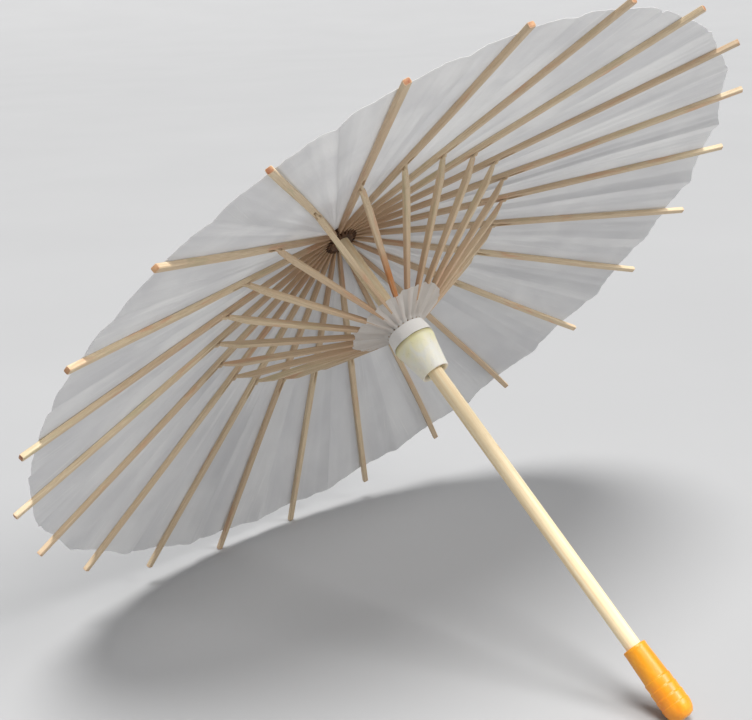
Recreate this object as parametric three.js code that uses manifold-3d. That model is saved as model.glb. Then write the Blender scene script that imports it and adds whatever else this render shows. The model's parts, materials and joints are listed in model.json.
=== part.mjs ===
// A white paper parasol with bamboo ribs, open, and lying on the ground on two rib tips and its handle cap.
// Millimetres. The frame's parts are drawn upright, with the shaft along +Z and the rib pivots at z = 0,
// and the whole parasol is then tilted about Y until it rests on the ground.

import * as THREE from 'three';
import { mergeVertices } from 'three/addons/utils/BufferGeometryUtils.js';
import Module from 'manifold-3d';

const wasm = await Module();
wasm.setup();

// Driving dimensions
const RIB_COUNT = 23;
const TIP_RADIUS = 200; // from the shaft's axis to a rib's tip
const RIB_SLOPE = THREE.MathUtils.degToRad(16.46); // below level, with the parasol open
const PIVOT_RADIUS = 8; // of the rib pivots in the hub and the strut pivots on the runner
const JOINT_RADIUS = 85.6; // where a strut meets its rib, on the rib's centre line
const JOINT_DROP = 0.4; // the strut's pivot lies this far below the rib's centre line
const RUNNER_PIVOT_Z = -57.9; // height of the strut pivots on the runner
const CLEARANCE = 0.3; // between two pieces that touch

const SHAFT_RADIUS = 3.7;
const SHAFT_TOP_Z = 9;
const SHAFT_END_Z = -256;
const CAP_TOP_Z = -239.2;
const CAP_END_Z = -275;

const RIB_WIDTH = 3;
const RIB_DEPTH = 2.4;
const STRUT_WIDTH = 2.8;
const STRUT_DEPTH = 2.9;
const NECK_WIDTH = 1; // of a rib or strut where it turns on its thread
const NECK_DEPTH = 2.4;
const NECK_LENGTH = 4;
const TONGUE_WIDTH = 1.1; // of a strut's outer end, which turns inside its rib
const TONGUE_DEPTH = 1.5;
const SLOT_REACH = 9; // of a rib's slot past the strut's pivot

const HUB_RADIUS = 9.5;
const HUB_TOP_Z = 6.5;
const HUB_BOTTOM_Z = -2.2;
const THREAD_RADIUS = 0.35;
const THREAD_HOLE_RADIUS = 0.65;

const PAPER_THICKNESS = 0.3;
const PAPER_INNER_RADIUS = 11.2;
const PAPER_EDGE_RADIUS = 189.4;
const PAPER_NOTCH = 1.9; // the edge is this much nearer the shaft between two ribs
const CREASE_SHARE = 0.008; // a panel's crease sinks by this share of its distance from the shaft
const SKIRT_EDGE_RADIUS = 25;

// Places that follow from them
const PITCH = (2 * Math.PI) / RIB_COUNT;
const RIB_LENGTH = (TIP_RADIUS - PIVOT_RADIUS) / Math.cos(RIB_SLOPE);
const JOINT_ALONG_RIB = (JOINT_RADIUS - PIVOT_RADIUS) / Math.cos(RIB_SLOPE);
const JOINT_R = JOINT_RADIUS - JOINT_DROP * Math.sin(RIB_SLOPE);
const JOINT_Z = -JOINT_ALONG_RIB * Math.sin(RIB_SLOPE) - JOINT_DROP * Math.cos(RIB_SLOPE);
const STRUT_LENGTH = Math.hypot(JOINT_R - PIVOT_RADIUS, JOINT_Z - RUNNER_PIVOT_Z);
const STRUT_SLOPE = Math.atan2(JOINT_Z - RUNNER_PIVOT_Z, JOINT_R - PIVOT_RADIUS);

const bamboo = new THREE.MeshStandardMaterial({ color: 0xcbb28c, roughness: 0.6, metalness: 0 });
const paleWood = new THREE.MeshStandardMaterial({ color: 0xe0cfae, roughness: 0.55, metalness: 0 });
const darkWood = new THREE.MeshStandardMaterial({ color: 0x5d3a26, roughness: 0.7, metalness: 0 });
const whitePaper = new THREE.MeshStandardMaterial({ color: 0xdcdad6, roughness: 0.85, metalness: 0 });
const ivoryPlastic = new THREE.MeshStandardMaterial({ color: 0xd9d3ae, roughness: 0.25, metalness: 0 });
const orangePlastic = new THREE.MeshStandardMaterial({ color: 0xe89a1c, roughness: 0.35, metalness: 0 });
const cotton = new THREE.MeshStandardMaterial({ color: 0xb9ab94, roughness: 0.9, metalness: 0 });

// Joins rows of points into one closed surface. Each row is a loop of points. The last row joins the first
// if the body is a ring, and otherwise the first and last rows are closed with a face each.
function skin(rows, isRing) {
  const size = rows[0].length;
  const positions = rows.flat().flatMap((p) => [p.x, p.y, p.z]);
  const faces = [];
  const steps = isRing ? rows.length : rows.length - 1;
  for (let i = 0; i < steps; i += 1) {
    for (let k = 0; k < size; k += 1) {
      const a = i * size + k;
      const b = i * size + ((k + 1) % size);
      const c = ((i + 1) % rows.length) * size + ((k + 1) % size);
      const d = ((i + 1) % rows.length) * size + k;
      faces.push(a, b, c, a, c, d);
    }
  }
  if (!isRing) {
    const last = (rows.length - 1) * size;
    for (let k = 1; k < size - 1; k += 1) {
      faces.push(0, k + 1, k, last, last + k, last + k + 1);
    }
  }
  const geometry = new THREE.BufferGeometry();
  geometry.setAttribute('position', new THREE.Float32BufferAttribute(positions, 3));
  geometry.setIndex(faces);
  return facingOut(geometry);
}

// Turns a closed surface's faces outwards if they point in.
function facingOut(geometry) {
  const position = geometry.getAttribute('position');
  const index = geometry.getIndex();
  const [a, b, c] = [new THREE.Vector3(), new THREE.Vector3(), new THREE.Vector3()];
  let volume = 0;
  for (let i = 0; i < index.count; i += 3) {
    a.fromBufferAttribute(position, index.getX(i));
    b.fromBufferAttribute(position, index.getX(i + 1));
    c.fromBufferAttribute(position, index.getX(i + 2));
    volume += a.dot(b.cross(c));
  }
  if (volume < 0) {
    for (let i = 0; i < index.count; i += 3) {
      const first = index.getX(i);
      index.setX(i, index.getX(i + 1));
      index.setX(i + 1, first);
    }
  }
  return geometry;
}

function merged(geometry) {
  geometry.deleteAttribute('normal');
  geometry.deleteAttribute('uv');
  return facingOut(mergeVertices(geometry, 1e-4));
}

function toSolid(geometry) {
  const clean = merged(geometry);
  const vertProperties = new Float32Array(clean.getAttribute('position').array);
  const triVerts = new Uint32Array(clean.getIndex().array);
  return new wasm.Manifold(new wasm.Mesh({ numProp: 3, vertProperties, triVerts }));
}

function toGeometry(solid) {
  const mesh = solid.getMesh();
  const geometry = new THREE.BufferGeometry();
  geometry.setAttribute('position', new THREE.BufferAttribute(mesh.vertProperties, 3));
  geometry.setIndex(new THREE.BufferAttribute(mesh.triVerts, 1));
  return geometry;
}

function cut(geometry, tools) {
  let solid = toSolid(geometry);
  for (const tool of tools) {
    solid = solid.subtract(toSolid(tool));
  }
  return toGeometry(solid);
}

// Turns a profile of [radius, height] points about the Z axis.
function turned(profile, segments) {
  const points = profile.map(([r, z]) => new THREE.Vector2(r, z));
  const geometry = new THREE.LatheGeometry(points, segments);
  geometry.rotateX(Math.PI / 2);
  return merged(geometry);
}

// A bar along +X with a rectangular section. Each station is [x, width along Y, depth along Z, height of its middle].
function bar(stations) {
  const rows = stations.map(([x, width, depth, lift = 0]) => [
    new THREE.Vector3(x, -width / 2, lift - depth / 2),
    new THREE.Vector3(x, width / 2, lift - depth / 2),
    new THREE.Vector3(x, width / 2, lift + depth / 2),
    new THREE.Vector3(x, -width / 2, lift + depth / 2),
  ]);
  return skin(rows, false);
}

// A rib or strut's inner end, rounded about the thread that it turns on.
function neckStations() {
  return [
    [-1.1, NECK_WIDTH, 0.5 * NECK_DEPTH],
    [-0.5, NECK_WIDTH, 0.9 * NECK_DEPTH],
    [0.4, NECK_WIDTH, NECK_DEPTH],
    [NECK_LENGTH, NECK_WIDTH, NECK_DEPTH],
  ];
}

// The hole across a neck for its thread.
function threadHole() {
  return new THREE.CylinderGeometry(THREAD_HOLE_RADIUS, THREAD_HOLE_RADIUS, 3, 8);
}

function ribGeometry() {
  const body = bar([
    ...neckStations(),
    [5.5, 1.55, RIB_DEPTH],
    [9, 1.85, RIB_DEPTH],
    [20, 2.2, RIB_DEPTH],
    [45, 2.8, RIB_DEPTH],
    [60, RIB_WIDTH, RIB_DEPTH],
    [RIB_LENGTH, RIB_WIDTH, RIB_DEPTH],
  ]);
  const slotStart = JOINT_ALONG_RIB - 3;
  const slotEnd = JOINT_ALONG_RIB + SLOT_REACH;
  const slotTop = -JOINT_DROP + TONGUE_DEPTH / 2 + CLEARANCE;
  const slot = new THREE.BoxGeometry(slotEnd - slotStart, TONGUE_WIDTH + CLEARANCE, RIB_DEPTH);
  slot.translate((slotStart + slotEnd) / 2, 0, slotTop - RIB_DEPTH / 2);
  return cut(body, [threadHole(), slot]);
}

// The strut's lower face is cut back towards its outer end, to clear its rib when the two lie side by side, folded.
function strutGeometry() {
  const body = bar([
    ...neckStations(),
    [20, 2.05, 0.93 * STRUT_DEPTH],
    [45, 2.55, STRUT_DEPTH],
    [60, STRUT_WIDTH, STRUT_DEPTH],
    [STRUT_LENGTH - 12.6, STRUT_WIDTH, STRUT_DEPTH],
    [STRUT_LENGTH - 4.6, STRUT_WIDTH, 1.47, 0.715],
    [STRUT_LENGTH - 3.6, STRUT_WIDTH, 1.2, 0.85],
    [STRUT_LENGTH - 3.4, TONGUE_WIDTH, 1.15, 0.775],
    [STRUT_LENGTH - 2.3, TONGUE_WIDTH, TONGUE_DEPTH],
    [STRUT_LENGTH - 0.3, TONGUE_WIDTH, TONGUE_DEPTH],
    [STRUT_LENGTH + 0.45, TONGUE_WIDTH, 0.83 * TONGUE_DEPTH],
    [STRUT_LENGTH + 1, TONGUE_WIDTH, 0.3 * TONGUE_DEPTH],
  ]);
  return cut(body, [threadHole()]);
}

// A thread's loop through the necks, or with a larger radius the groove that clears it.
function threadLoop(radius, sides) {
  return new THREE.TorusGeometry(PIVOT_RADIUS, radius, sides, 2 * RIB_COUNT);
}

function ribAngle(number) {
  return (number - 0.5) * PITCH;
}

// The turned wooden head at the top of the shaft, with a slot for each rib.
function hubGeometry() {
  const body = turned(
    [
      [SHAFT_RADIUS + CLEARANCE, HUB_BOTTOM_Z],
      [HUB_RADIUS - 1.4, HUB_BOTTOM_Z],
      [HUB_RADIUS, HUB_BOTTOM_Z + 1.4],
      [HUB_RADIUS, HUB_TOP_Z - 2.5],
      [HUB_RADIUS - 2.5, HUB_TOP_Z],
      [SHAFT_RADIUS + CLEARANCE, HUB_TOP_Z],
      [SHAFT_RADIUS + CLEARANCE, HUB_BOTTOM_Z],
    ],
    2 * RIB_COUNT,
  );
  const slotStart = 6.4;
  const slotLength = HUB_RADIUS + 2 - slotStart;
  const slotTop = NECK_DEPTH / 2 + 0.5;
  const slotHeight = slotTop - HUB_BOTTOM_Z + 2;
  const tools = [threadLoop(THREAD_HOLE_RADIUS, 8)];
  for (let number = 1; number <= RIB_COUNT; number += 1) {
    const slot = new THREE.BoxGeometry(slotLength, NECK_WIDTH + CLEARANCE, slotHeight);
    slot.translate(slotStart + slotLength / 2, 0, slotTop - slotHeight / 2);
    slot.rotateZ(ribAngle(number));
    tools.push(slot);
  }
  return cut(body, tools);
}

function shaftGeometry() {
  const geometry = new THREE.CylinderGeometry(SHAFT_RADIUS, SHAFT_RADIUS, SHAFT_TOP_Z - SHAFT_END_Z, 24);
  geometry.rotateX(Math.PI / 2);
  geometry.translate(0, 0, (SHAFT_TOP_Z + SHAFT_END_Z) / 2);
  return merged(geometry);
}

// The moulded cap pushed on the shaft's lower end, with shallow rings and a domed end.
function handleCapGeometry() {
  const socket = SHAFT_RADIUS + CLEARANCE;
  return turned(
    [
      [0, CAP_END_Z],
      [2.6, CAP_END_Z],
      [4.9, CAP_END_Z + 1.2],
      [6.3, CAP_END_Z + 3.6],
      [6.7, CAP_END_Z + 6.5],
      [6.5, CAP_END_Z + 7],
      [6.6, CAP_END_Z + 11],
      [6.3, CAP_END_Z + 11.5],
      [6.3, CAP_END_Z + 15],
      [6, CAP_END_Z + 15.5],
      [5.6, CAP_TOP_Z - 0.5],
      [5.2, CAP_TOP_Z],
      [socket, CAP_TOP_Z],
      [socket, SHAFT_END_Z - CLEARANCE],
      [0, SHAFT_END_Z - CLEARANCE],
    ],
    28,
  );
}

// The bell-shaped runner. Its bore is loose on the shaft, and the struts turn just above its flat top.
function runnerGeometry() {
  const top = RUNNER_PIVOT_Z - 1.7;
  const bore = 5.9;
  return turned(
    [
      [bore, top],
      [9, top],
      [10, top - 6.6],
      [10.6, top - 7],
      [10.5, top - 9],
      [9.9, top - 12.5],
      [8.8, top - 17.5],
      [7.8, top - 22.5],
      [7.3, top - 25.8],
      [6.6, top - 25.8],
      [bore, top - 24.8],
      [bore, top],
    ],
    28,
  );
}

function runnerBandGeometry() {
  const top = RUNNER_PIVOT_Z - 1.7;
  const bottom = top - 6.5;
  return turned([[9.3, top], [9.8, top], [10.8, bottom], [10.3, bottom], [9.3, top]], 32);
}

// Paper stretched round the shaft over the ribs or under the struts. heightAt gives its lower face's height
// over a rib or strut, and edgeRadius its outer radius there.
function paperGeometry({ innerRadius, edgeRadius, notch, stations, heightAt, creaseShare }) {
  const rows = [];
  for (let step = 0; step < 2 * RIB_COUNT; step += 1) {
    const isCrease = step % 2 === 0;
    const angle = (step * PITCH) / 2;
    const outer = isCrease ? edgeRadius - notch : edgeRadius;
    const lower = [];
    const upper = [];
    for (let i = 0; i < stations; i += 1) {
      const radius = innerRadius + ((outer - innerRadius) * i) / (stations - 1);
      const alongRib = isCrease ? radius / Math.cos(PITCH / 2) : radius;
      const z = heightAt(alongRib) - (isCrease ? creaseShare * radius : 0);
      const [x, y] = [radius * Math.cos(angle), radius * Math.sin(angle)];
      lower.push(new THREE.Vector3(x, y, z));
      upper.unshift(new THREE.Vector3(x, y, z + PAPER_THICKNESS));
    }
    rows.push([...lower, ...upper]);
  }
  return skin(rows, true);
}

function canopyGeometry() {
  const overRib = (RIB_DEPTH / 2 + CLEARANCE + 0.1) / Math.cos(RIB_SLOPE);
  return paperGeometry({
    innerRadius: PAPER_INNER_RADIUS,
    edgeRadius: PAPER_EDGE_RADIUS,
    notch: PAPER_NOTCH,
    stations: 5,
    heightAt: (radius) => overRib - (radius - PIVOT_RADIUS) * Math.tan(RIB_SLOPE),
    creaseShare: CREASE_SHARE,
  });
}

function skirtGeometry() {
  const underStrut = (STRUT_DEPTH / 2 + CLEARANCE + PAPER_THICKNESS) / Math.cos(STRUT_SLOPE);
  return paperGeometry({
    innerRadius: 10.1,
    edgeRadius: SKIRT_EDGE_RADIUS,
    notch: 0.8,
    stations: 3,
    heightAt: (radius) => RUNNER_PIVOT_Z - underStrut + (radius - PIVOT_RADIUS) * Math.tan(STRUT_SLOPE),
    creaseShare: 0,
  });
}

// The pasted paper cone that covers the hub and the paper's inner edge.
function crownGeometry() {
  return turned(
    [
      [0, 13],
      [3.2, 13],
      [4.6, 12.4],
      [10.6, 7],
      [13.6, 1.1],
      [13.2, 0.7],
      [10.2, 6.4],
      [4.3, 11.9],
      [0, 12.2],
    ],
    32,
  );
}

function named(name, geometry, material) {
  const mesh = new THREE.Mesh(geometry, material);
  mesh.name = name;
  return mesh;
}

// Puts a mesh at a pivot on the circle of pivots, sloping by an angle below level, at one rib's place.
function placed(mesh, number, pivotZ, slopeDown) {
  mesh.position.set(PIVOT_RADIUS, 0, pivotZ);
  mesh.rotation.y = slopeDown;
  const spoke = new THREE.Group();
  spoke.rotation.z = ribAngle(number);
  spoke.add(mesh);
  return spoke;
}

// Height of a mesh's lowest point once the upright parasol is tilted about Y.
function lowest(mesh, tilt) {
  const position = mesh.geometry.getAttribute('position');
  const point = new THREE.Vector3();
  mesh.updateWorldMatrix(true, false);
  let low = Infinity;
  for (let i = 0; i < position.count; i += 1) {
    point.fromBufferAttribute(position, i).applyMatrix4(mesh.matrixWorld);
    low = Math.min(low, point.z * Math.cos(tilt) - point.x * Math.sin(tilt));
  }
  return low;
}

// The tilt at which a rib tip and the handle cap are equally low.
function restingTilt(rib, handleCap) {
  let [low, high] = [0, Math.PI / 2];
  for (let i = 0; i < 50; i += 1) {
    const middle = (low + high) / 2;
    if (lowest(rib, middle) > lowest(handleCap, middle)) {
      low = middle;
    } else {
      high = middle;
    }
  }
  return (low + high) / 2;
}

const parasol = new THREE.Group();
const handleCap = named('handle_cap', handleCapGeometry(), orangePlastic);
parasol.add(named('shaft', shaftGeometry(), paleWood));
parasol.add(handleCap);
parasol.add(named('hub', hubGeometry(), darkWood));
parasol.add(named('hub_thread', merged(threadLoop(THREAD_RADIUS, 6)), cotton));
parasol.add(named('crown_cap', crownGeometry(), whitePaper));
parasol.add(named('canopy_paper', canopyGeometry(), whitePaper));
parasol.add(named('runner', runnerGeometry(), ivoryPlastic));
parasol.add(named('runner_band', runnerBandGeometry(), whitePaper));
parasol.add(named('runner_skirt', skirtGeometry(), whitePaper));

const runnerThread = named('runner_thread', merged(threadLoop(THREAD_RADIUS, 6)), cotton);
runnerThread.position.z = RUNNER_PIVOT_Z;
parasol.add(runnerThread);

const ribShape = ribGeometry();
const strutShape = strutGeometry();
let firstRib;
for (let number = 1; number <= RIB_COUNT; number += 1) {
  const label = String(number).padStart(2, '0');
  const rib = named(`rib_${label}`, ribShape, bamboo);
  const strut = named(`strut_${label}`, strutShape, bamboo);
  parasol.add(placed(rib, number, 0, RIB_SLOPE));
  parasol.add(placed(strut, number, RUNNER_PIVOT_Z, -STRUT_SLOPE));
  firstRib = firstRib ?? rib;
}

parasol.rotation.y = restingTilt(firstRib, handleCap);
parasol.updateMatrixWorld(true);
const extent = new THREE.Box3().setFromObject(parasol, true);
const middle = extent.getCenter(new THREE.Vector3());
parasol.position.set(-middle.x, -middle.y, -extent.min.z);

const group = new THREE.Group();
group.add(parasol);
export default group;
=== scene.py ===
import json
import math

import bmesh
import bpy
import numpy as np
from mathutils import Matrix, Vector


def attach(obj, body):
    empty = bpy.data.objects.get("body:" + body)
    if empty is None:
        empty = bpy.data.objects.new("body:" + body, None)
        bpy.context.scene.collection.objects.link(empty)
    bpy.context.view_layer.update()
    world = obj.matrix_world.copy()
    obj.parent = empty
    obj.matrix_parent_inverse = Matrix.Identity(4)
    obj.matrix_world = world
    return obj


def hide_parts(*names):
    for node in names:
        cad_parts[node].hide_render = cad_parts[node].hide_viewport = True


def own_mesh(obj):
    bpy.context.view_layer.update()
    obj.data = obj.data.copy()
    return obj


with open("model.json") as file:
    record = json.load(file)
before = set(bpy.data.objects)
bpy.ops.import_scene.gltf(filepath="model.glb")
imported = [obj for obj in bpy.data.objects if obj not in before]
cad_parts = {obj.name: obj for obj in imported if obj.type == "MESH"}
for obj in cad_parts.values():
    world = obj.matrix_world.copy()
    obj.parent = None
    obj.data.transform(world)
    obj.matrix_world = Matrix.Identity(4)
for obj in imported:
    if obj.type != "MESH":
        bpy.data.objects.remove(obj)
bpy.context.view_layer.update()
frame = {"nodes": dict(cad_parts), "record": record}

# ---------------------------------------------------------------------------
# The parasol's own frame: millimetres, upright, the rib pivots at height 0
# ---------------------------------------------------------------------------
MOUNTS = {m["name"]: m for m in frame["record"]["mounts"]}
AXIS = Vector(MOUNTS["crown_top"]["axis"])
HANDLE_END_Z = -275.0
MM = 0.001


def upright_frame():
    """Takes upright millimetres to metres in the row frame, where the parasol lies on the ground."""
    y = Vector((0, 1, 0))
    x = y.cross(AXIS)
    origin = Vector(MOUNTS["handle_end"]["pos_m"]) - AXIS * HANDLE_END_Z * MM
    columns = Matrix((x, y, AXIS)).transposed().to_4x4()
    return Matrix.Translation(origin) @ columns @ Matrix.Scale(MM, 4)


UPRIGHT = upright_frame()
RIB_COUNT = 23
PITCH = 2 * math.pi / RIB_COUNT
PIVOT_RADIUS = 8.0
TIP_RADIUS = 200.0
RIB_SLOPE = math.radians(16.46)
JOINT_RADIUS = 85.6
JOINT_DROP = 0.4
RUNNER_PIVOT_Z = -57.9
RIB_LENGTH = (TIP_RADIUS - PIVOT_RADIUS) / math.cos(RIB_SLOPE)
JOINT_ALONG_RIB = (JOINT_RADIUS - PIVOT_RADIUS) / math.cos(RIB_SLOPE)
JOINT_R = JOINT_RADIUS - JOINT_DROP * math.sin(RIB_SLOPE)
JOINT_Z = -JOINT_ALONG_RIB * math.sin(RIB_SLOPE) - JOINT_DROP * math.cos(RIB_SLOPE)
STRUT_LENGTH = math.hypot(JOINT_R - PIVOT_RADIUS, JOINT_Z - RUNNER_PIVOT_Z)
STRUT_SLOPE = math.atan2(JOINT_Z - RUNNER_PIVOT_Z, JOINT_R - PIVOT_RADIUS)
RIB_WIDTH = 3.0
RIB_DEPTH = 2.4
STRUT_WIDTH = 2.8
STRUT_DEPTH = 2.9
SHAFT_RADIUS = 3.7
NUMBERS = range(1, RIB_COUNT + 1)


def rib_angle(number):
    return (number - 0.5) * PITCH


def spoke(number, pivot_z, slope_down):
    """A rib's or strut's own frame: X along it from its pivot, Y across, Z out of its upper face."""
    turn = Matrix.Rotation(rib_angle(number), 4, "Z")
    pivot = Matrix.Translation((PIVOT_RADIUS, 0, pivot_z))
    return UPRIGHT @ turn @ pivot @ Matrix.Rotation(slope_down, 4, "Y")


def rib_frame(number):
    return spoke(number, 0.0, RIB_SLOPE)


def strut_frame(number):
    return spoke(number, RUNNER_PIVOT_Z, -STRUT_SLOPE)


# ---------------------------------------------------------------------------
# Noise, the same on every run
# ---------------------------------------------------------------------------
# The last argument of wavy and hash01 is a seed, a different one for each use.
X_STEP, Y_STEP, SEED_STEP, SCATTER = 127.1, 311.7, 74.7, 43758.5453
INDEX_STEP, INDEX_SEED_STEP, INDEX_SCATTER = 91.7, 37.3, 15731.743


def wavy(x, y, seed):
    """Smooth noise from -1 to 1 over arrays x and y, with a feature about every unit."""
    x, y = np.broadcast_arrays(np.asarray(x, float), np.asarray(y, float))
    xi, yi = np.floor(x), np.floor(y)
    fx, fy = x - xi, y - yi
    fx, fy = fx * fx * (3 - 2 * fx), fy * fy * (3 - 2 * fy)

    def corner(dx, dy):
        raw = np.sin((xi + dx) * X_STEP + (yi + dy) * Y_STEP + seed * SEED_STEP) * SCATTER
        return 2 * (raw - np.floor(raw)) - 1

    low = corner(0, 0) * (1 - fx) + corner(1, 0) * fx
    high = corner(0, 1) * (1 - fx) + corner(1, 1) * fx
    return low * (1 - fy) + high * fy


def hash01(index, seed):
    """A number from 0 to 1 for each index."""
    raw = np.sin(np.asarray(index, float) * INDEX_STEP + seed * INDEX_SEED_STEP) * INDEX_SCATTER
    return raw - np.floor(raw)


# ---------------------------------------------------------------------------
# Mesh building
# ---------------------------------------------------------------------------
MERGE_DISTANCE = 1e-4
SLIVER_LENGTH = 1e-5
SHARP_DEG = 35
SHARP_DEG_TURNED = 50
SHARP_DEG_PAPER = 60


def make_piece(name, points, faces, place, material, seed=0.0, sharp_deg=SHARP_DEG):
    """A mesh from points in the frame place. Its material reads those points and seed as attributes."""
    mesh = bpy.data.meshes.new(name)
    mesh.from_pydata([tuple(p) for p in points], [], faces)
    bm = bmesh.new()
    bm.from_mesh(mesh)
    bmesh.ops.remove_doubles(bm, verts=bm.verts, dist=MERGE_DISTANCE)
    bmesh.ops.dissolve_degenerate(bm, edges=bm.edges, dist=SLIVER_LENGTH)
    bmesh.ops.recalc_face_normals(bm, faces=bm.faces)
    bm.to_mesh(mesh)
    bm.free()
    own = np.empty(len(mesh.vertices) * 3, np.float32)
    mesh.vertices.foreach_get("co", own)
    grain = mesh.attributes.new("grain", "FLOAT_VECTOR", "POINT")
    grain.data.foreach_set("vector", own)
    seeds = mesh.attributes.new("seed", "FLOAT", "POINT")
    seeds.data.foreach_set("value", np.full(len(mesh.vertices), seed, np.float32))
    mesh.transform(place)
    mesh.shade_smooth()
    mesh.set_sharp_from_angle(angle=math.radians(sharp_deg))
    mesh.materials.append(material)
    piece = bpy.data.objects.new(name, mesh)
    bpy.context.scene.collection.objects.link(piece)
    return piece


def put_in_place(piece, node, body):
    """The piece stands in for a CAD node, which it hides, and rides on a body."""
    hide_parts(node)
    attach(piece, body)


def circle_angles(count):
    return [2 * math.pi * i / count for i in range(count)]


def loft(rows, ring=False):
    """Joins loops of points into one closed surface: a ring of loops, or a bar with a face on each end."""
    size = len(rows[0])
    points = [p for row in rows for p in row]
    faces = []
    steps = len(rows) if ring else len(rows) - 1
    for i in range(steps):
        j = (i + 1) % len(rows)
        for k in range(size):
            m = (k + 1) % size
            faces.append((i * size + k, i * size + m, j * size + m, j * size + k))
    if not ring:
        faces.append(tuple(range(size - 1, -1, -1)))
        faces.append(tuple((len(rows) - 1) * size + k for k in range(size)))
    return points, faces


def lathe(profile, segments=96):
    """A closed profile of (radius, height) turned about the shaft. Points on the axis merge into one."""
    rows = [[(r * math.cos(a), r * math.sin(a), z) for r, z in profile] for a in circle_angles(segments)]
    return loft(rows, ring=True)


ON_AXIS = 1e-6
MOST_OF_SIDE = 0.45


def rounded(profile, steps, reach):
    """Rounds each corner of a closed profile with a short arc that starts up to reach before the corner."""
    out = []
    count = len(profile)
    for i, here in enumerate(profile):
        here = np.array(here, float)
        before = np.array(profile[i - 1], float) - here
        after = np.array(profile[(i + 1) % count], float) - here
        if here[0] < ON_AXIS:
            out.append(tuple(here))
            continue
        start = here + before * min(MOST_OF_SIDE, reach / max(np.linalg.norm(before), ON_AXIS))
        end = here + after * min(MOST_OF_SIDE, reach / max(np.linalg.norm(after), ON_AXIS))
        for t in np.linspace(0, 1, steps):
            point = (1 - t) ** 2 * start + 2 * t * (1 - t) * here + t * t * end
            out.append((float(point[0]), float(point[1])))
    return out


def sheet_solid(lower, upper):
    """A closed thin solid from two grids of points, rows along the first index."""
    rows, columns = lower.shape[:2]
    points = np.concatenate([lower.reshape(-1, 3), upper.reshape(-1, 3)])
    top = rows * columns
    faces = []
    for i in range(rows - 1):
        for k in range(columns - 1):
            a = i * columns + k
            b, c, d = a + 1, a + columns + 1, a + columns
            faces.append((a, b, c, d))
            faces.append((top + a, top + d, top + c, top + b))
    rim = list(range(columns))
    rim += [i * columns + columns - 1 for i in range(1, rows)]
    rim += [(rows - 1) * columns + k for k in range(columns - 2, -1, -1)]
    rim += [i * columns for i in range(rows - 2, 0, -1)]
    for a, b in zip(rim, rim[1:] + rim[:1]):
        faces.append((b, a, top + a, top + b))
    return points, faces


# ---------------------------------------------------------------------------
# Materials
# ---------------------------------------------------------------------------
GRAIN_SHIFT = (31.7, 17.3, 47.9)


class Shader:
    """A node material, built a node at a time."""

    def __init__(self, name):
        self.material = bpy.data.materials.new(name)
        self.material.use_nodes = True
        self.tree = self.material.node_tree
        self.main = self.tree.nodes["Principled BSDF"]

    def add(self, kind, settings=None, **inputs):
        node = self.tree.nodes.new(kind)
        for key, value in (settings or {}).items():
            setattr(node, key, value)
        for key, value in inputs.items():
            self.put(node.inputs[key.replace("_", " ")], value)
        return node

    def put(self, socket, value):
        if isinstance(value, bpy.types.NodeSocket):
            self.tree.links.new(value, socket)
        elif socket.type == "RGBA":
            socket.default_value = (*value[:3], 1.0)
        else:
            socket.default_value = value

    def grain(self, scale):
        """The piece's own millimetres, stretched by scale along each of its axes and shifted by its seed."""
        place = self.add("ShaderNodeAttribute", {"attribute_name": "grain"}).outputs["Vector"]
        seed = self.add("ShaderNodeAttribute", {"attribute_name": "seed"}).outputs["Fac"]
        scaled = self.add("ShaderNodeVectorMath", {"operation": "MULTIPLY"})
        self.put(scaled.inputs[0], place)
        self.put(scaled.inputs[1], scale)
        shifted = self.add("ShaderNodeVectorMath", {"operation": "ADD"})
        self.put(shifted.inputs[0], scaled.outputs[0])
        spread = self.add("ShaderNodeVectorMath", {"operation": "SCALE"})
        self.put(spread.inputs[0], GRAIN_SHIFT)
        self.put(spread.inputs["Scale"], seed)
        self.put(shifted.inputs[1], spread.outputs[0])
        return shifted.outputs[0]

    def noise(self, vector, scale=1.0, detail=4.0, rough=0.55, warp=0.0):
        node = self.add(
            "ShaderNodeTexNoise",
            Vector=vector, Scale=scale, Detail=detail, Roughness=rough, Distortion=warp,
        )
        return node.outputs["Fac"]

    def ramp(self, value, *stops):
        """A colour ramp of (place, colour) stops."""
        node = self.add("ShaderNodeValToRGB", Fac=value)
        elements = node.color_ramp.elements
        while len(elements) < len(stops):
            elements.new(0.5)
        for element, (place, colour) in zip(elements, stops):
            element.position = place
            element.color = (*colour, 1.0) if len(colour) == 3 else colour
        return node.outputs["Color"]

    def share(self, value, low, high):
        """0 at low, 1 at high, smooth in between."""
        node = self.add("ShaderNodeMapRange", {"interpolation_type": "SMOOTHSTEP"}, Value=value)
        self.put(node.inputs["From Min"], low)
        self.put(node.inputs["From Max"], high)
        return node.outputs["Result"]

    def mix(self, share, a, b):
        """Colour a where share is 0, and b where it is 1."""
        node = self.add("ShaderNodeMix", {"data_type": "RGBA"})
        share_socket, a_socket, b_socket = (node.inputs[i] for i in (0, 6, 7))
        self.put(share_socket, share)
        self.put(a_socket, a)
        self.put(b_socket, b)
        colour_output = node.outputs[2]
        return colour_output

    def maths(self, operation, a, b=0.0):
        node = self.add("ShaderNodeMath", {"operation": operation})
        self.put(node.inputs[0], a)
        self.put(node.inputs[1], b)
        return node.outputs[0]

    def part(self, share, most):
        """A share scaled down, so that it reaches most instead of 1."""
        return self.maths("MULTIPLY", share, most)

    def bump(self, height, distance, strength):
        node = self.add("ShaderNodeBump", Height=height, Distance=distance, Strength=strength)
        return node.outputs["Normal"]

    def finish(self, **inputs):
        for key, value in inputs.items():
            self.put(self.main.inputs[key.replace("_", " ")], value)
        return self.material


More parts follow.
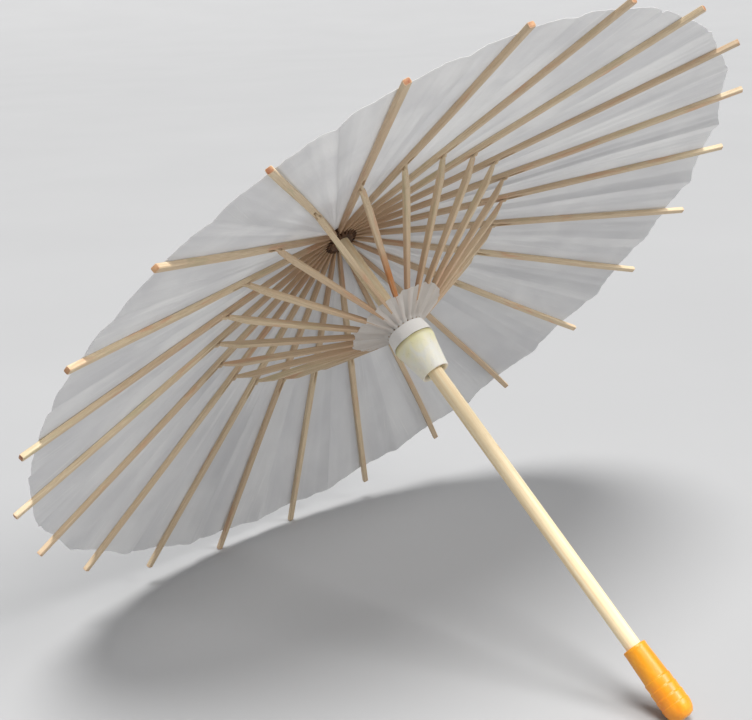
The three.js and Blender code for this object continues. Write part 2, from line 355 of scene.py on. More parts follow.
def srgb(red, green, blue):
    """A linear colour from one as it looks on screen, each channel from 0 to 255."""
    linear = []
    for channel in (red, green, blue):
        shown = channel / 255
        linear.append(((shown + 0.055) / 1.055) ** 2.4 if channel > 10 else shown / 12.92)
    return tuple(linear)


def bamboo_material(name, stained=False):
    """Split bamboo: long fibres, olive and reddish patches, painted shade near the shaft where ribs and
    struts crowd together, with a browned cut end.
    """
    s = Shader(name)
    place = s.add("ShaderNodeAttribute", {"attribute_name": "grain"}).outputs["Vector"]
    along = s.add("ShaderNodeSeparateXYZ", Vector=place).outputs["X"]
    fibres = s.noise(s.grain((0.05, 4.5, 4.5)), detail=5, rough=0.6)
    fine = s.noise(s.grain((0.16, 14.0, 14.0)), detail=3)
    patches = s.noise(s.grain((0.035, 0.25, 0.25)), detail=3, warp=0.4)
    tone = s.noise(s.grain((0.006, 0.02, 0.02)), detail=1)
    wood = s.ramp(
        fibres,
        (0.25, srgb(180, 154, 120)), (0.42, srgb(210, 187, 153)),
        (0.58, srgb(224, 204, 172)), (0.78, srgb(238, 223, 196)),
    )
    olive = s.mix(s.share(patches, 0.57, 0.72), wood, srgb(202, 188, 152))
    ruddy = s.mix(s.share(patches, 0.42, 0.3), olive, srgb(216, 176, 142))
    toned = s.mix(s.part(s.share(tone, 0.4, 0.66), 0.45), ruddy, srgb(190, 158, 128))
    flecks = s.mix(s.part(s.share(fine, 0.62, 0.75), 0.4), toned, srgb(146, 108, 74))
    # Painted shade: reddish brown towards the shaft, where the ribs and struts crowd together
    inner = s.mix(s.part(s.share(along, 64.0, 8.0), 0.5), flecks, srgb(168, 120, 84))
    if stained:
        streaks = s.noise(s.grain((0.12, 1.4, 1.4)), detail=3)
        near = s.maths("MULTIPLY", s.share(along, 52.0, 30.0), s.share(along, 14.0, 20.0))
        stain = s.maths("MULTIPLY", near, s.share(streaks, 0.25, 0.5))
        inner = s.mix(s.part(stain, 0.85), inner, srgb(188, 112, 38))
    browned = s.maths("MULTIPLY", s.share(along, RIB_LENGTH - 1.6, RIB_LENGTH), s.share(tone, 0.3, 0.6))
    scorch = s.mix(s.part(browned, 0.4), inner, srgb(196, 140, 100))
    cut = s.ramp(patches, (0.35, srgb(204, 160, 118)), (0.62, srgb(160, 98, 66)))
    cut_end = s.mix(s.share(along, RIB_LENGTH - 0.06, RIB_LENGTH - 0.02), scorch, cut)
    height = s.maths("ADD", fibres, s.part(fine, 0.5))
    return s.finish(
        Base_Color=cut_end,
        Roughness=s.maths("ADD", 0.4, s.part(fine, 0.3)),
        Normal=s.bump(height, 0.00018, 0.7),
    )


def paper_material(name, light, dark, seen_through, rib_shade_and_glue_tint=0.0):
    """Thin handmade paper: faint fibres, fold lines along the ribs lightened near white, partly as whitened
    creases and partly as a painted highlight on their ridges, a tan band over each rib that is partly glue
    and partly painted shade of the rib seen through the paper, and light through it.
    """
    s = Shader(name)
    place = s.add("ShaderNodeAttribute", {"attribute_name": "grain"}).outputs["Vector"]
    split = s.add("ShaderNodeSeparateXYZ", Vector=place)
    cloud = s.noise(s.grain((0.02, 0.03, 0.03)), detail=3, warp=0.4)
    fibres = s.noise(s.grain((0.55, 0.9, 0.9)), detail=6, rough=0.7, warp=1.8)
    strands = s.noise(s.grain((0.16, 0.22, 0.22)), detail=5, rough=0.5, warp=3.5)
    # A fold line runs where long, thin noise crosses its middle value.
    wander = s.noise(s.grain((0.008, 0.32, 0.32)), detail=2, rough=0.4, warp=0.1)
    ridge = s.share(s.maths("ABSOLUTE", s.maths("SUBTRACT", wander, 0.5)), 0.022, 0.0)
    patchy = s.share(s.noise(s.grain((0.014, 0.05, 0.05)), detail=2), 0.48, 0.66)
    lines = s.maths("MULTIPLY", ridge, patchy)
    crinkle = s.noise(s.grain((0.05, 0.5, 0.5)), detail=5, rough=0.6, warp=0.3)
    tone = s.mix(s.share(cloud, 0.3, 0.72), dark, light)
    strand = s.share(s.maths("ABSOLUTE", s.maths("SUBTRACT", strands, 0.5)), 0.02, 0.0)
    colour = s.mix(s.part(s.share(fibres, 0.55, 0.72), 0.3), tone, light)
    colour = s.mix(s.part(strand, 0.12), colour, dark)
    # Painted highlight: fold lines lightened near white, partly whitened creases and partly light catching
    # their ridges
    colour = s.mix(s.part(lines, 0.32), colour, srgb(252, 252, 250))
    if rib_shade_and_glue_tint:
        # Over each rib the paper is tinted tan: partly glue, partly painted shade of the rib seen through the
        # paper
        away = s.maths("ABSOLUTE", split.outputs["Y"])
        over_rib = s.share(away, 1.9, 1.35)
        colour = s.mix(s.part(over_rib, rib_shade_and_glue_tint), colour, srgb(200, 186, 160))
    height = s.maths("ADD", s.part(crinkle, 0.7), s.part(fibres, 0.12))
    height = s.maths("ADD", height, s.part(lines, 0.35))
    normal = s.bump(height, 0.0005, 0.32)
    s.finish(Base_Color=colour, Roughness=0.68, Normal=normal, Specular_IOR_Level=0.3)
    through = s.add("ShaderNodeBsdfTranslucent", Color=colour, Normal=normal)
    both = s.add("ShaderNodeMixShader", Fac=seen_through)
    s.put(both.inputs[1], s.main.outputs[0])
    s.put(both.inputs[2], through.outputs[0])
    output = s.tree.nodes["Material Output"]
    s.put(output.inputs["Surface"], both.outputs[0])
    return s.material


STAIN = (-2.2, -3.0, -133.0)


def dowel_material():
    """A sanded pale dowel: straight grain along it, and one small brown stain."""
    s = Shader("pale_dowel")
    place = s.add("ShaderNodeAttribute", {"attribute_name": "grain"}).outputs["Vector"]
    grain = s.noise(s.grain((0.9, 0.9, 0.012)), detail=6, rough=0.62, warp=0.25)
    pores = s.noise(s.grain((5.0, 5.0, 0.22)), detail=2)
    wood = s.ramp(grain, (0.3, srgb(228, 200, 154)), (0.5, srgb(240, 219, 180)), (0.68, srgb(247, 232, 200)))
    pored = s.mix(s.part(s.share(pores, 0.62, 0.74), 0.4), wood, srgb(196, 156, 108))
    away = s.add("ShaderNodeVectorMath", {"operation": "DISTANCE"})
    s.put(away.inputs[0], place)
    s.put(away.inputs[1], STAIN)
    blot = s.noise(s.grain((0.5, 0.5, 0.3)), detail=3)
    near = s.share(s.maths("ADD", away.outputs["Value"], s.part(blot, 3.0)), 4.6, 2.2)
    colour = s.mix(s.part(near, 0.75), pored, srgb(196, 128, 66))
    roughness = s.maths("ADD", 0.4, s.part(pores, 0.25))
    return s.finish(Base_Color=colour, Roughness=roughness, Normal=s.bump(grain, 0.0001, 0.5))


def hub_material():
    """Dark, dry wood with a lighter mottled grain."""
    s = Shader("dark_wood")
    place = s.add("ShaderNodeTexCoord").outputs["Object"]
    grain = s.noise(place, scale=420, detail=5, warp=0.5)
    colour = s.ramp(grain, (0.3, srgb(62, 40, 24)), (0.52, srgb(98, 68, 44)), (0.75, srgb(146, 110, 76)))
    return s.finish(Base_Color=colour, Roughness=0.7, Normal=s.bump(grain, 0.0002, 0.6))


def ivory_material():
    """Moulded plastic with a soft gloss, cream with a yellow-green cloud below its paper band."""
    s = Shader("ivory_plastic")
    place = s.add("ShaderNodeAttribute", {"attribute_name": "grain"}).outputs["Vector"]
    height = s.add("ShaderNodeSeparateXYZ", Vector=place).outputs["Z"]
    cloud = s.noise(s.grain((0.13, 0.13, 0.1)), detail=3, warp=0.8)
    rim = s.share(s.maths("ADD", height, s.part(cloud, 12.0)), -72.0, -58.0)
    body = s.mix(s.share(cloud, 0.35, 0.7), srgb(234, 230, 220), srgb(240, 233, 210))
    colour = s.mix(s.part(rim, 0.75), body, srgb(230, 218, 152))
    swirl = s.noise(s.grain((0.5, 0.5, 0.5)), detail=2)
    grime = s.share(s.noise(s.grain((0.9, 0.9, 0.35)), detail=4), 0.6, 0.75)
    # Painted shade: a dark olive ring just under the paper band's lower edge
    shade_under_band = s.part(s.share(height, -68.4, -66.4), 0.55)
    edged = s.mix(shade_under_band, colour, srgb(150, 134, 84))
    worn = s.mix(s.part(grime, 0.25), edged, srgb(158, 148, 116))
    return s.finish(
        Base_Color=worn, Roughness=s.maths("ADD", 0.42, s.part(swirl, 0.2)),
        Normal=s.bump(swirl, 0.0004, 0.4), Coat_Weight=0.06, Coat_Roughness=0.4, Subsurface_Weight=0.08,
    )


def orange_material():
    """Satin moulded plastic, orange-yellow, with faint flow marks and rubbed rings."""
    s = Shader("orange_plastic")
    flow = s.noise(s.grain((0.12, 0.12, 0.05)), detail=4, warp=1.2)
    scuff = s.noise(s.grain((2.2, 2.2, 0.5)), detail=4)
    colour = s.ramp(flow, (0.3, srgb(232, 138, 12)), (0.55, srgb(240, 152, 22)), (0.75, srgb(248, 170, 40)))
    worn = s.mix(s.part(s.share(scuff, 0.6, 0.74), 0.25), colour, srgb(252, 200, 120))
    return s.finish(
        Base_Color=worn, Roughness=s.maths("ADD", 0.28, s.part(scuff, 0.22)),
        Normal=s.bump(scuff, 0.00008, 0.4), Subsurface_Weight=0.12, Coat_Weight=0.15, Coat_Roughness=0.25,
    )


def thread_material():
    """Twisted cotton, with painted shade in the grooves of its twist and lighter ridges."""
    s = Shader("cotton_thread")
    bands = s.add(
        "ShaderNodeTexWave", {"wave_type": "BANDS", "bands_direction": "DIAGONAL"},
        Vector=s.grain((1.0, 1.0, 1.0)), Scale=1.6, Distortion=1.0, Detail=2.0,
    )
    twist = bands.outputs["Fac"]
    # Painted shade: darker in the twist's grooves, lighter on its ridges
    colour = s.mix(twist, srgb(150, 128, 96), srgb(208, 192, 162))
    return s.finish(Base_Color=colour, Roughness=0.85, Normal=s.bump(twist, 0.0002, 0.8))


BAMBOO = bamboo_material("bamboo")
STAINED_BAMBOO = bamboo_material("bamboo_stained", stained=True)
CANOPY_PAPER = paper_material("canopy_paper", srgb(235, 235, 235), srgb(225, 225, 226), 0.55, 0.22)
SKIRT_PAPER = paper_material("skirt_paper", srgb(240, 237, 233), srgb(224, 219, 213), 0.5)
WHITE_PAPER = paper_material("white_paper", srgb(252, 251, 249), srgb(238, 236, 232), 0.12)
DOWEL = dowel_material()
DARK_WOOD = hub_material()
IVORY = ivory_material()
ORANGE = orange_material()
THREAD = thread_material()


# ---------------------------------------------------------------------------
# Ribs and struts
# ---------------------------------------------------------------------------
SIDE_BULGE = 0.04
CHAMFER_LIMIT = 0.4


def section(x, width, depth, slot_width, slot_depth, chamfer, shift):
    """One loop of a rib or strut: a chamfered rectangle, and a slot below unless slot_depth is 0."""
    w, d, g = width / 2, depth / 2, slot_width / 2
    c = min(chamfer, w * CHAMFER_LIMIT)
    loop = [
        (-w + c, -d), (-g, -d), (-g, -d + slot_depth), (g, -d + slot_depth), (g, -d), (w - c, -d),
        (w, -d + c), (w + SIDE_BULGE, 0), (w, d - c), (w - c, d),
        (-w + c, d), (-w, d - c), (-w - SIDE_BULGE, 0), (-w, -d + c),
    ]
    side, lift = shift
    return [(x, y + side, z + lift) for y, z in loop]


def ease(x, stations):
    """Linear between (x, value) stations."""
    xs, values = zip(*stations)
    return float(np.interp(x, xs, values))


# The rounded inner end, as (place, share of the depth), then (place, millimetres) pairs along a rib.
NECK = [(-1.15, 0.35), (-1.0, 0.68), (-0.7, 0.88), (-0.3, 0.98), (0.1, 1.0)]
NECK_END = 0.1
RIB_WIDTHS = [
    (0, 1.0), (4, 1.0), (5.5, 1.55), (9, 1.85), (20, 2.2), (45, 2.8),
    (60, RIB_WIDTH), (RIB_LENGTH, RIB_WIDTH),
]
SPLIT_FROM = 12  # nearer the shaft than this, ribs and struts are trimmed smooth
CHAMFER = 0.3
SLOT = (JOINT_ALONG_RIB - 3.0, JOINT_ALONG_RIB + 8.6)
SLOT_WIDTH = 1.3
SLOT_STEP = 1e-3
SLOT_DEPTHS = [(SLOT[0], 0.4), (SLOT[0] + 1.2, 1.8), (JOINT_ALONG_RIB + 2.0, 1.8), (SLOT[1], 0.15)]
SWAY_CLEAR = 12  # a rib starts to stray this far past its strut's pin
BOW_MOST = 2.2
INNER_BOW_MOST = 0.35
RIPPLE_MOST = 0.25
DROOP = 0.12


def rib_sway(x, number):
    """How far a split rib wanders sideways and down, in millimetres. Pivot and slot stay in place."""
    past = max(0.0, x - JOINT_ALONG_RIB - SWAY_CLEAR) / (RIB_LENGTH - JOINT_ALONG_RIB)
    free = min(past * 3, 1.0)
    bow = BOW_MOST * (2 * float(hash01(number, 11)) - 1) * past ** 1.6
    inner = 0.0
    if x < JOINT_ALONG_RIB:
        arch = math.sin(math.pi * min(max(x, 0.0), JOINT_ALONG_RIB) / JOINT_ALONG_RIB) ** 2
        inner = INNER_BOW_MOST * (2 * float(hash01(number, 12)) - 1) * arch
    ripple = RIPPLE_MOST * float(wavy(x / 55, number * 7.3, 3)) * free
    return bow + inner + ripple, -DROOP * free * (1 + float(wavy(x / 60, number * 5.1, 4)))


KNOT_PLACE = 105
KNOT_STRAY = 80
KNOT_HEIGHT = 0.16
KNOT_REACH = 1.6


def rib_knot(x, number):
    """The low swelling of a bamboo node, at a place of each rib's own."""
    middle = KNOT_PLACE + KNOT_STRAY * float(wavy(number * 3.7, 0.5, 8))
    return KNOT_HEIGHT * math.exp(-(((x - middle) / KNOT_REACH) ** 2))


RIB_LOOPS = 120
SLOT_LOOPS = 12
RIB_ROUGHNESS = 0.035


def rib_mesh(number):
    """One rib in its own frame, with its neck, its slot for the strut and its rounded outer end."""
    slot_start, slot_end = SLOT
    xs = [x for x, _ in NECK] + list(np.linspace(2, RIB_LENGTH - 0.45, RIB_LOOPS))
    xs += [slot_start, slot_start + SLOT_STEP, slot_end - SLOT_STEP, slot_end]
    xs += list(np.linspace(slot_start + 0.4, slot_end - 0.4, SLOT_LOOPS))
    rows = []
    for x in sorted(xs):
        rough = 1 + RIB_ROUGHNESS * float(wavy(x / 16, number * 9.7, 5))
        swell = rib_knot(x, number)
        width = ease(x, RIB_WIDTHS) * (rough if x > SPLIT_FROM else 1) + swell
        depth = RIB_DEPTH * (ease(x, NECK) if x < NECK_END else 1) + swell
        slot_width = min(SLOT_WIDTH, width * 0.6)
        slot_depth = ease(x, SLOT_DEPTHS) if slot_start < x < slot_end else 0.0
        rows.append(section(x, width, depth, slot_width, slot_depth, CHAMFER, rib_sway(x, number)))
    # The last two loops round off the cut outer end.
    end = rib_sway(RIB_LENGTH, number)
    rows.append(section(RIB_LENGTH - 0.12, RIB_WIDTH - 0.12, RIB_DEPTH - 0.12, 1.4, 0.0, 0.35, end))
    rows.append(section(RIB_LENGTH, RIB_WIDTH - 0.5, RIB_DEPTH - 0.5, 1.2, 0.0, 0.4, end))
    return loft(rows)


STRUT_TOP = STRUT_DEPTH / 2
TONGUE_WIDTH = 1.1
TONGUE_TOP = 0.75
STRUT_FIRST_CUT = STRUT_LENGTH - 12.6
# Along a strut: its width, and the heights of its upper and lower faces. The lower face is cut back
# near the rib.
STRUT_STATIONS = [
    (0, 1.0, 1.2, -1.2), (4, 1.0, 1.2, -1.2), (20, 2.05, 1.35, -1.35), (45, 2.55, STRUT_TOP, -STRUT_TOP),
    (60, STRUT_WIDTH, STRUT_TOP, -STRUT_TOP), (STRUT_FIRST_CUT, STRUT_WIDTH, STRUT_TOP, -STRUT_TOP),
    (STRUT_LENGTH - 4.6, STRUT_WIDTH, STRUT_TOP, -0.02), (STRUT_LENGTH - 3.6, STRUT_WIDTH, STRUT_TOP, 0.25),
    (STRUT_LENGTH - 3.4, TONGUE_WIDTH, 1.35, 0.2),
    (STRUT_LENGTH - 2.3, TONGUE_WIDTH, TONGUE_TOP, -TONGUE_TOP),
    (STRUT_LENGTH + 1.0, TONGUE_WIDTH, TONGUE_TOP, -TONGUE_TOP),
]
# The tongue's rounded end, as (place past the pin, share of the depth).
STRUT_TIP = [(0.0, 1.0), (0.35, 0.93), (0.62, 0.77), (0.85, 0.5), (1.0, 0.28)]
STAINED_STRUT = 10
STRUT_HELD = 14  # the last part of a strut, which stays in line with its slot
STRUT_ROUGHNESS = 0.04
STRUT_SIDE_SWAY = 0.3
STRUT_LIFT_SWAY = 0.2
STRUT_LOOPS = 52
TONGUE_LOOPS = 16


def strut_sway(x, number):
    """How far a split strut wanders sideways and up, in millimetres, between its two held ends."""
    loose = min(1.0, max(x, 0.0) / 20) * min(1.0, max(STRUT_LENGTH - STRUT_HELD - x, 0.0) / 20)
    side = float(wavy(x / 60, number * 11.9, 6)) * STRUT_SIDE_SWAY * loose
    return side, float(wavy(x / 60, number * 3.1, 7)) * STRUT_LIFT_SWAY * loose


def strut_row(x, number, share=1.0):
    """One loop of a strut, with share of its depth."""
    places, widths, tops, bottoms = zip(*STRUT_STATIONS)
    width, top, bottom = (float(np.interp(x, places, values)) for values in (widths, tops, bottoms))
    if SPLIT_FROM < x < STRUT_LENGTH - 13:
        width *= 1 + STRUT_ROUGHNESS * float(wavy(x / 14, number * 6.1, 9))
    side, lift = strut_sway(x, number)
    shift = (side, lift + (top + bottom) / 2)
    return section(x, width, (top - bottom) * share, width * 0.5, 0.0, CHAMFER, shift)


def strut_mesh(number):
    """One strut in its own frame, from its rounded neck to its tongue."""
    xs = list(np.linspace(0.5, STRUT_LENGTH - STRUT_HELD, STRUT_LOOPS))
    xs += list(np.linspace(STRUT_FIRST_CUT, STRUT_LENGTH - 0.4, TONGUE_LOOPS))
    xs += [STRUT_LENGTH - back for back in (4.6, 3.68, 3.6, 3.5, 3.4, 2.3)]
    rows = [strut_row(x, number, share) for x, share in NECK]
    rows += [strut_row(x, number) for x in sorted(xs)]
    rows += [strut_row(STRUT_LENGTH + x, number, share) for x, share in STRUT_TIP]
    return loft(rows)


PIN_RADIUS = 0.35
PIN_END_RADIUS = 0.26
PIN_HALF_LENGTH = 1.5
PIN_ROUNDING = 0.06


def pin_mesh():
    """The cane pin that a strut turns on, through its rib from side to side."""
    tip = PIN_HALF_LENGTH + PIN_ROUNDING
    ends = [(-tip, PIN_END_RADIUS), (-PIN_HALF_LENGTH, PIN_RADIUS)]
    ends += [(PIN_HALF_LENGTH, PIN_RADIUS), (tip, PIN_END_RADIUS)]
    loops = []
    for y, radius in ends:
        loop = []
        for a in circle_angles(16):
            loop.append((JOINT_ALONG_RIB + radius * math.cos(a), y, -JOINT_DROP + radius * math.sin(a)))
        loops.append(loop)
    return loft(loops)


def build_ribs_and_struts():
    for number in NUMBERS:
        label = f"{number:02d}"
        rib = make_piece(f"cane_rib_{label}", *rib_mesh(number), rib_frame(number), BAMBOO, number * 1.37)
        put_in_place(rib, f"rib_{label}", f"rib_{label}")
        cane = STAINED_BAMBOO if number == STAINED_STRUT else BAMBOO
        place = strut_frame(number)
        strut = make_piece(f"cane_strut_{label}", *strut_mesh(number), place, cane, number * 2.11 + 60)
        put_in_place(strut, f"strut_{label}", f"strut_{label}")
        pin = make_piece(f"strut_pin_{label}", *pin_mesh(), rib_frame(number), BAMBOO, number * 0.7)
        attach(pin, f"rib_{label}")


# ---------------------------------------------------------------------------
# The canopy's paper
# ---------------------------------------------------------------------------
PAPER_INNER = 12.0
PAPER_EDGE = 190.6
PAPER_THICK = 0.22
PAPER_OVER_RIB = RIB_DEPTH / 2 + 0.04
GLUED_HALF_WIDTH = 1.45
PAPER_ROWS = 84
PANEL_COLUMNS = 22
GLUED_COLUMNS = 5
OFF_CENTRE = 2.4  # the paper was pasted this far off the shaft
OFF_CENTRE_ANGLE = math.radians(150)


def fold(x, width):
    """A crease: 1 at x = 0, falling off sharply on both sides."""
    return np.exp(-((np.abs(x) / width) ** 1.3))


MIDDLE_STRAY = 0.16  # how far, in half gaps, the main fold may lie off the middle of its gap
FOLD_SINK = 0.0045
CRINKLE_SINK = 0.0016
CRINKLES = 5
SMOOTH_NEAR_RIB = 0.16
FULL_WAVES_FROM = 90


def paper_relief(gap, w, radius):
    """How far paper sinks below its flat panel, in millimetres. w goes from -1 to 1 across a gap."""
    middle = MIDDLE_STRAY * (hash01(gap, 1) - 0.5) + 0.05 * wavy(radius / 60, gap * 3.3, 21)
    v = w - middle
    depth = FOLD_SINK + FOLD_SINK * hash01(gap, 2)
    second = 0.25 + 0.12 * hash01(gap, 3)
    third = -0.22 - 0.14 * hash01(gap, 4)
    along = 0.6 + 0.4 * wavy(radius / 45, gap * 5.7, 22)
    sink = depth * fold(v, 0.17) - 0.5 * depth * along * fold(v - second, 0.10)
    sink = sink - 0.45 * depth * (1.1 - along) * fold(v - third, 0.11)
    for k in range(CRINKLES):
        place = 1.7 * (hash01(gap, 31 + k) - 0.5)
        reach = hash01(gap, 41 + k)
        near = np.clip((radius / PAPER_EDGE - 0.75 * reach) / 0.12, 0, 1)
        crinkle = fold(v - place - 0.01 * np.sin(radius / 23 + k), 0.035)
        sink = sink - (CRINKLE_SINK * (hash01(gap, 51 + k) + 0.4)) * near * crinkle
    waves = 0.22 * wavy(radius / 48, w * 5 + gap * 13, 23) + 0.10 * wavy(radius / 17, w * 9 + gap * 29, 24)
    slant = 0.14 * wavy(radius / 22 + w * 2.2, radius / 70 - w * 3 + gap * 7, 25)
    window = np.clip((1 - np.abs(w)) / SMOOTH_NEAR_RIB, 0, 1)
    grow = np.clip(radius / FULL_WAVES_FROM, 0.15, 1)
    return (radius * sink + (waves + slant) * grow) * window


def edge_radius(gap, w):
    """The paper's cut edge: nearly straight between two ribs, uneven, with a nick at the fold."""
    chord = math.cos(PITCH / 2) / np.cos(np.abs(1 - np.abs(w)) * PITCH / 2)
    bulge = 1.3 * (1 - w * w) * (0.3 + hash01(gap, 5))
    ragged = 0.35 * wavy(w * 4 + gap * 11, 0.3, 26) + 0.22 * wavy(w * 13 + gap * 17, 0.7, 27)
    middle = MIDDLE_STRAY * (hash01(gap, 1) - 0.5)
    nick = (0.3 + 0.8 * hash01(gap, 7)) * np.exp(-(np.abs(w - middle) / 0.05) ** 1.5)
    step = 0.7 * (hash01(gap, 6) - 0.5) * np.tanh((w - middle) / 0.03)
    turned = rib_angle(gap) + (w + 1) * PITCH / 2
    off_centre = OFF_CENTRE * np.cos(turned - OFF_CENTRE_ANGLE)
    return PAPER_EDGE * (0.5 + 0.5 * chord) + bulge + ragged - nick + step * (1 - w * w) + off_centre


def canopy_points(number, lateral):
    """Paper points over rib number, upright. lateral(radius) gives each column's angle from the rib."""
    t = np.linspace(0, 1, PAPER_ROWS)[:, None]
    nominal = PAPER_INNER + (PAPER_EDGE - PAPER_INNER) * t
    angle = lateral(nominal)
    offset = angle / PITCH
    gap = np.where(offset >= 0, number, number - 1) % RIB_COUNT
    w = np.where(offset >= 0, 2 * offset - 1, 2 * offset + 1)
    w = np.clip(w, -1, 1)
    radius = PAPER_INNER + (edge_radius(gap, w) - PAPER_INNER) * t
    from_middle = (1 - np.abs(2 * offset)) * PITCH / 2
    height = PAPER_OVER_RIB / math.cos(RIB_SLOPE) - (radius - PIVOT_RADIUS) * math.tan(RIB_SLOPE)
    flat = height - radius * math.tan(RIB_SLOPE) * (np.cos(from_middle) / math.cos(PITCH / 2) - 1)
    z = flat - paper_relief(gap, w, radius)
    turn = angle + rib_angle(number)
    return np.stack([radius * np.cos(turn), radius * np.sin(turn), z], -1)


def paper_piece(name, number, lateral):
    """One piece of the canopy's paper over rib number, with lateral as in canopy_points."""
    lower = canopy_points(number, lateral)
    upper = lower + np.array([0, 0, PAPER_THICK])
    points, faces = sheet_solid(lower, upper)
    # The mesh is made in the rib's own frame, so that its grain runs along the rib.
    to_rib = (UPRIGHT.inverted() @ rib_frame(number)).inverted()
    local = points @ np.array(to_rib.to_3x3()).T + np.array(to_rib.translation)
    seed = number * 0.93
    piece = make_piece(name, local, faces, rib_frame(number), CANOPY_PAPER, seed, SHARP_DEG_PAPER)
    put_in_place(piece, "canopy_paper", f"rib_{number:02d}")
    return piece


def pleat(piece):
    """Gives a half panel a copy of its mesh of its own."""
    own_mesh(piece)


def build_canopy():
    """A strip glued over each rib, and a half panel on each side of it up to the fold between two ribs."""
    shares = np.linspace(0, 1, PANEL_COLUMNS)

    def glued(radius):
        across = np.linspace(-GLUED_HALF_WIDTH, GLUED_HALF_WIDTH, GLUED_COLUMNS)
        return np.arcsin(across[None, :] / radius)

    def panel(side):
        def lateral(radius):
            start = np.arcsin(GLUED_HALF_WIDTH / radius)
            return side * (start + (PITCH / 2 - start) * shares[None, :])

        return lateral

    for number in NUMBERS:
        label = f"{number:02d}"
        strip = paper_piece(f"paper_{label}_on_rib", number, glued)
        for side, word in ((1, "left"), (-1, "right")):
            piece = paper_piece(f"paper_{label}_{word}", number, panel(side))
            pleat(piece)


# ---------------------------------------------------------------------------
# The runner, its paper, and the shaft's fittings
# ---------------------------------------------------------------------------
RUNNER_TOP = RUNNER_PIVOT_Z - 1.7
RUNNER_BORE = 5.9
SKIRT_INNER = 9.9
SKIRT_EDGE = 25.0
SKIRT_ROWS = 26
SKIRT_COLUMNS = 13
SKIRT_THICK = 0.12
PASTE_LIP = 1.1  # the skirt's inner edge turns down this far, over a strip as wide
ON_FOLD = 1e-9


def skirt_edge(turn):
    """How far the torn edge strays, turn being the place in ribs round the shaft."""
    return 1.0 * wavy(turn * 0.9, 0.4, 31) + 0.6 * wavy(turn * 2.7, 0.8, 32) + 0.3 * wavy(turn * 7.3, 0.1, 34)


def skirt_mesh(number):
    """Paper pasted under one strut and out to half way to the next ones, in the strut's frame."""
    t = np.linspace(0, 1, SKIRT_ROWS)[:, None]
    q = np.linspace(-1, 1, SKIRT_COLUMNS)[None, :]
    gap = np.where(q >= 0, number, number - 1) % RIB_COUNT
    w = np.where(q >= 0, q - 1, q + 1)
    ragged = skirt_edge(number + q / 2)
    outer = SKIRT_EDGE + np.where(np.abs(w) < ON_FOLD, skirt_edge(gap + 0.5), ragged)
    radius = SKIRT_INNER + (outer - SKIRT_INNER) * t
    angle = q * PITCH / 2
    under = np.interp(radius - PIVOT_RADIUS, [2, 4, 18, 30], [1.2, 1.2, 1.32, 1.4]) + 0.08
    strut_half = np.interp(radius, [10, 28], [0.5, 0.95])
    across = np.abs(radius * np.sin(angle))
    reach = radius * math.sin(PITCH / 2)
    hollow = np.clip((across - strut_half) / np.maximum(reach - strut_half, 0.05), 0, 1)
    crease = 0.12 * wavy(radius / 3, number + q / 2, 33) * hollow * (1 - hollow) * 4
    sag = (0.75 + 0.5 * hash01(gap, 14)) * hollow ** 0.8 + crease
    z = RUNNER_PIVOT_Z - under / math.cos(STRUT_SLOPE) + (radius - PIVOT_RADIUS) * math.tan(STRUT_SLOPE) + sag
    z = z - PASTE_LIP * np.clip(1 - (radius - SKIRT_INNER) / PASTE_LIP, 0, 1) ** 1.5
    turn = angle + rib_angle(number)
    lower = np.stack([radius * np.cos(turn), radius * np.sin(turn), z], -1)
    points, faces = sheet_solid(lower, lower + np.array([0, 0, SKIRT_THICK]))
    to_strut = (UPRIGHT.inverted() @ strut_frame(number)).inverted()
    return points @ np.array(to_strut.to_3x3()).T + np.array(to_strut.translation), faces


def build_skirt():
    for number in NUMBERS:
        label = f"{number:02d}"
        place = strut_frame(number)
        seed = number * 0.57
        piece = make_piece(f"skirt_{label}", *skirt_mesh(number), place, SKIRT_PAPER, seed, SHARP_DEG_PAPER)
        put_in_place(piece, "runner_skirt", f"strut_{label}")
        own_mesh(piece)


BELL_CURVE_FROM = 9.0
BELL_HEIGHT = 16.0
BELL_WIDEST = 10.45
BELL_TAPER = 3.15
BAND_SEGMENTS = 128
LAP_SEGMENT = 40


def build_runner():
    """The bell, widest under its shoulder and narrowing downwards, with paper pasted round its upper end."""
    top = RUNNER_TOP
    waist = top - BELL_CURVE_FROM
    outline = [(RUNNER_BORE, top), (9.0, top), (10.0, top - 6.4), (10.55, top - 6.9), (BELL_WIDEST, waist)]
    for t in np.linspace(0.12, 1, 12):
        outline.append((BELL_WIDEST - BELL_TAPER * t ** 0.85, waist - BELL_HEIGHT * t))
    outline += [(7.2, top - 25.8), (6.5, top - 25.8), (RUNNER_BORE, top - 25.0)]
    shape = lathe(rounded(outline, 5, 0.5))
    runner = make_piece("runner_bell", *shape, UPRIGHT, IVORY, 2.0, SHARP_DEG_TURNED)
    put_in_place(runner, "runner", "runner")
    rows = []
    for i, a in enumerate(circle_angles(BAND_SEGMENTS)):
        lip = 0.12 * float(wavy(i / 9, 0.2, 41))
        lap = 0.12 * max(0.0, 1 - abs(i - LAP_SEGMENT) / 6)  # where the paper's end lies over its start
        loop = [
            (9.35, top + 0.25 + lip), (9.85 + lap, top + 0.3 + lip),
            (10.85 + lap, top - 6.5 + lip), (10.4, top - 6.5 + lip),
        ]
        rows.append([(r * math.cos(a), r * math.sin(a), z) for r, z in loop])
    band = make_piece("runner_paper_band", *loft(rows, ring=True), UPRIGHT, WHITE_PAPER, 5.0)
    put_in_place(band, "runner_band", "runner")


THREAD_RADIUS = 0.33
THREAD_STRANDS = 0.06
THREAD_TWIST = 0.9
THREAD_SIDES = 10


